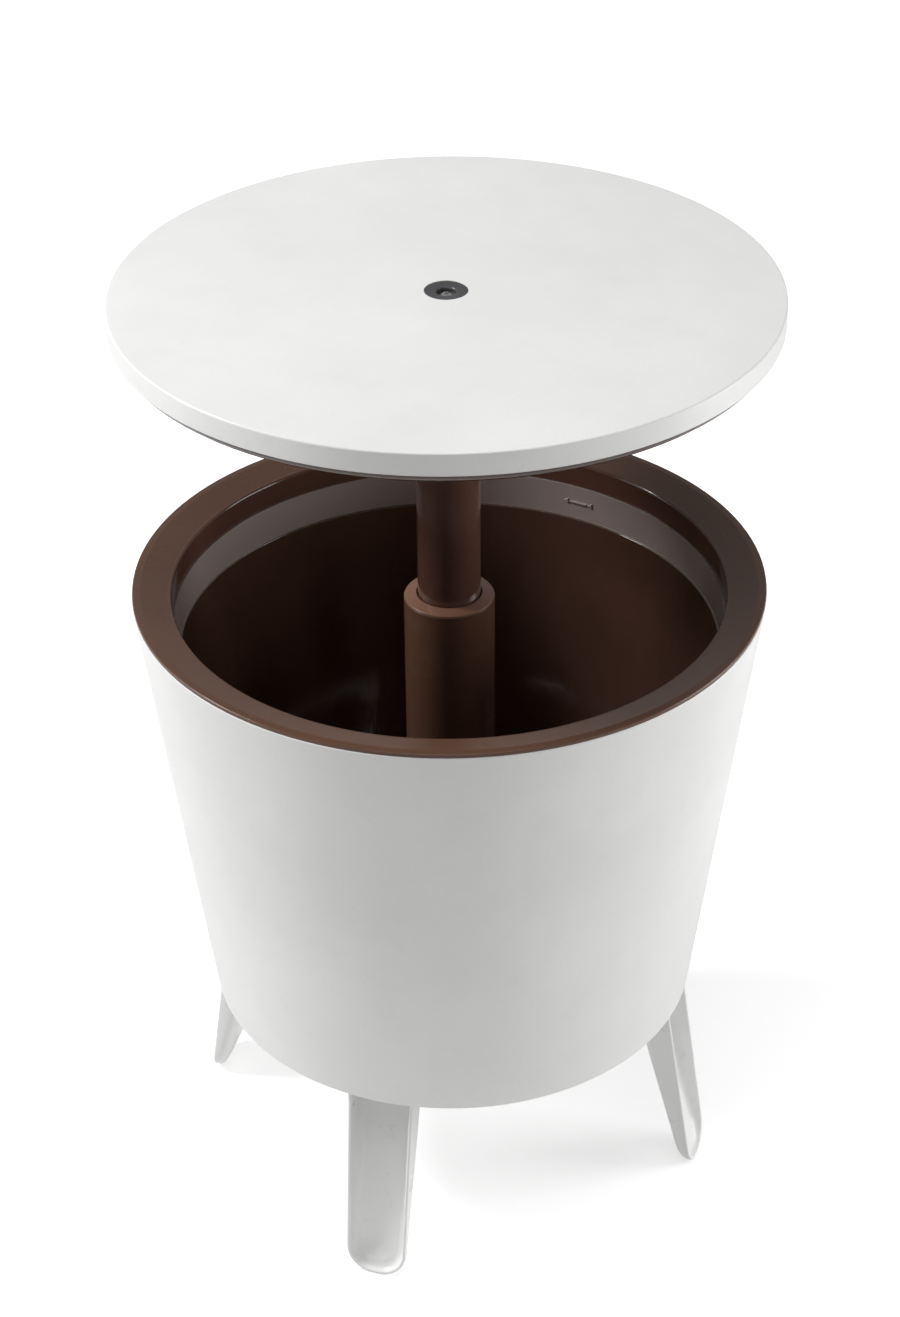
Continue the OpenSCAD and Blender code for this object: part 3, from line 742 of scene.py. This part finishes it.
class COOLER_OT_stage(bpy.types.Operator):
    """Set up the floor, the lamps, the world and the camera"""

    bl_idname = "cooler.stage"
    bl_label = "Stage"

    def execute(self, context):
        scene = context.scene
        stage = scene.cooler_stage
        scene.view_settings.view_transform = "Standard"
        right = Vector((math.cos(CAMERA_TURN), math.sin(CAMERA_TURN), 0))
        ahead = Vector((-math.sin(CAMERA_TURN), math.cos(CAMERA_TURN), 0))
        self.floor(stage)
        self.world(scene, stage)
        self.lamps(stage, right, ahead)
        self.camera(scene, right, ahead)
        return {"FINISHED"}

    def floor(self, stage):
        """A wide pale floor that the camera sees as white away from the table"""
        half = stage.floor_size / 2
        mesh = bpy.data.meshes.new("floor")
        corners = [(-half, -half, 0), (half, -half, 0), (half, half, 0), (-half, half, 0)]
        mesh.from_pydata(corners, [], [(0, 1, 2, 3)])
        floor = bpy.data.objects.new("floor", mesh)
        bpy.context.scene.collection.objects.link(floor)
        shader = Shader("floor_white")
        patch = shader.noise(scale=3, detail=2)
        colour = shader.mix(shader.span(patch, 0.3, 0.7, 0, 1), (0.93, 0.93, 0.93), (0.95, 0.95, 0.95))
        shader.set(shader.surface, Base_Color=colour, Roughness=0.9)
        path = shader.tree.nodes.new("ShaderNodeLightPath")
        glow = shader.tree.nodes.new("ShaderNodeEmission")
        fill = shader.span(shader.radius(), 0.6, 2, stage.near_fill, stage.far_fill, smooth=True)
        shader.link(shader.math("MULTIPLY", path.outputs["Is Camera Ray"], fill), glow.inputs["Strength"])
        both = shader.tree.nodes.new("ShaderNodeAddShader")
        shader.link(shader.surface.outputs[0], both.inputs[0])
        shader.link(glow.outputs[0], both.inputs[1])
        shader.link(both.outputs[0], shader.output.inputs[0])
        mesh.materials.append(shader.material)

    def world(self, scene, stage):
        """Even light from all round, white to the camera and dimmer in gloss"""
        world = bpy.data.worlds.new("studio")
        world.use_nodes = True
        tree = world.node_tree
        back = tree.nodes["Background"]
        path = tree.nodes.new("ShaderNodeLightPath")
        seen = combine(tree, "MAXIMUM", path.outputs["Is Camera Ray"], path.outputs["Is Transmission Ray"])
        gloss = combine(tree, "MULTIPLY", path.outputs["Is Glossy Ray"], stage.gloss)
        seen = combine(tree, "MAXIMUM", seen, gloss)
        level = combine(tree, "MAXIMUM", seen, stage.ambient)
        tree.links.new(level, back.inputs["Strength"])
        back.inputs["Color"].default_value = (1, 1, 1, 1)
        scene.world = world

    def lamps(self, stage, right, ahead):
        """Each lamp: turn from the camera's side (right positive), climb, distance, size and power"""
        lamps = (
            ("key_lamp", -97, 42, 2.8, 0.6, 0.6, stage.key_light),
            ("right_lamp", 90, 8, 2.0, 0.9, 1.4, stage.right_light),
            ("left_lamp", -90, 8, 2.0, 0.9, 1.4, stage.left_light),
            ("top_lamp", 0, 72, 2.3, 1.2, 1.2, stage.top_light),
        )
        for name, turn, climb, distance, width, height, power in lamps:
            turn, climb = math.radians(turn), math.radians(climb)
            level = right * math.sin(turn) - ahead * math.cos(turn)
            way = level * math.cos(climb) + Vector((0, 0, math.sin(climb)))
            area_lamp(name, LAMP_AIM + way * distance, LAMP_AIM, width, height, power)

    def camera(self, scene, right, ahead):
        """The camera from which the photograph's sizes were measured"""
        lens = bpy.data.cameras.new("camera")
        lens.sensor_width = SENSOR
        lens.lens = CAMERA_FOCAL / PICTURE_H * SENSOR
        lens.clip_start = CLIP_START
        camera = bpy.data.objects.new("camera", lens)
        forward = ahead * math.cos(CAMERA_PITCH) - Vector((0, 0, math.sin(CAMERA_PITCH)))
        up = right.cross(forward)
        across = right * math.cos(CAMERA_ROLL) + up * math.sin(CAMERA_ROLL)
        upright = up * math.cos(CAMERA_ROLL) - right * math.sin(CAMERA_ROLL)
        place = -ahead * CAMERA_DISTANCE + Vector((0, 0, CAMERA_HEIGHT))
        turn = Matrix((across, upright, -forward)).transposed().to_4x4()
        camera.matrix_world = Matrix.Translation(place) @ turn
        scene.collection.objects.link(camera)
        scene.camera = camera


class COOLER_PT_panel(bpy.types.Panel):
    """Lists the steps that dress the cooler bar table"""

    bl_idname = "COOLER_PT_panel"
    bl_label = "Cooler Bar Table"
    bl_space_type = "VIEW_3D"
    bl_region_type = "UI"
    bl_category = "Cooler Table"

    def draw(self, context):
        layout = self.layout
        for group in GROUPS:
            box = layout.box()
            settings = getattr(context.scene, group)
            for name in settings.bl_rna.properties.keys():
                if name not in ("rna_type", "name"):
                    box.prop(settings, name)
        for step in STEPS:
            layout.operator(step.bl_idname)


STEPS = (
    COOLER_OT_table_top, COOLER_OT_centre_fixing, COOLER_OT_pole, COOLER_OT_sleeve,
    COOLER_OT_bucket, COOLER_OT_casing, COOLER_OT_legs, COOLER_OT_drain, COOLER_OT_screws,
    COOLER_OT_stage,
)
GROUPS = {
    "cooler_finish": CoolerFinish,
    "cooler_surface": CoolerSurface,
    "cooler_leg": CoolerLeg,
    "cooler_stage": CoolerStage,
}


def register():
    """Adds the settings, the steps and the panel to Blender"""
    for name, group in GROUPS.items():
        bpy.utils.register_class(group)
        setattr(bpy.types.Scene, name, bpy.props.PointerProperty(type=group))
    for item in (*STEPS, COOLER_PT_panel):
        bpy.utils.register_class(item)


def unregister():
    """Takes them out again"""
    for item in reversed((*STEPS, COOLER_PT_panel)):
        bpy.utils.unregister_class(item)
    for name, group in GROUPS.items():
        delattr(bpy.types.Scene, name)
        bpy.utils.unregister_class(group)


def main():
    """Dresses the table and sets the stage"""
    register()
    bpy.ops.cooler.table_top()
    bpy.ops.cooler.centre_fixing()
    bpy.ops.cooler.pole()
    bpy.ops.cooler.sleeve()
    bpy.ops.cooler.bucket()
    bpy.ops.cooler.casing()
    bpy.ops.cooler.legs()
    bpy.ops.cooler.drain()
    bpy.ops.cooler.screws()
    bpy.ops.cooler.stage()


if __name__ == "__main__":
    main()
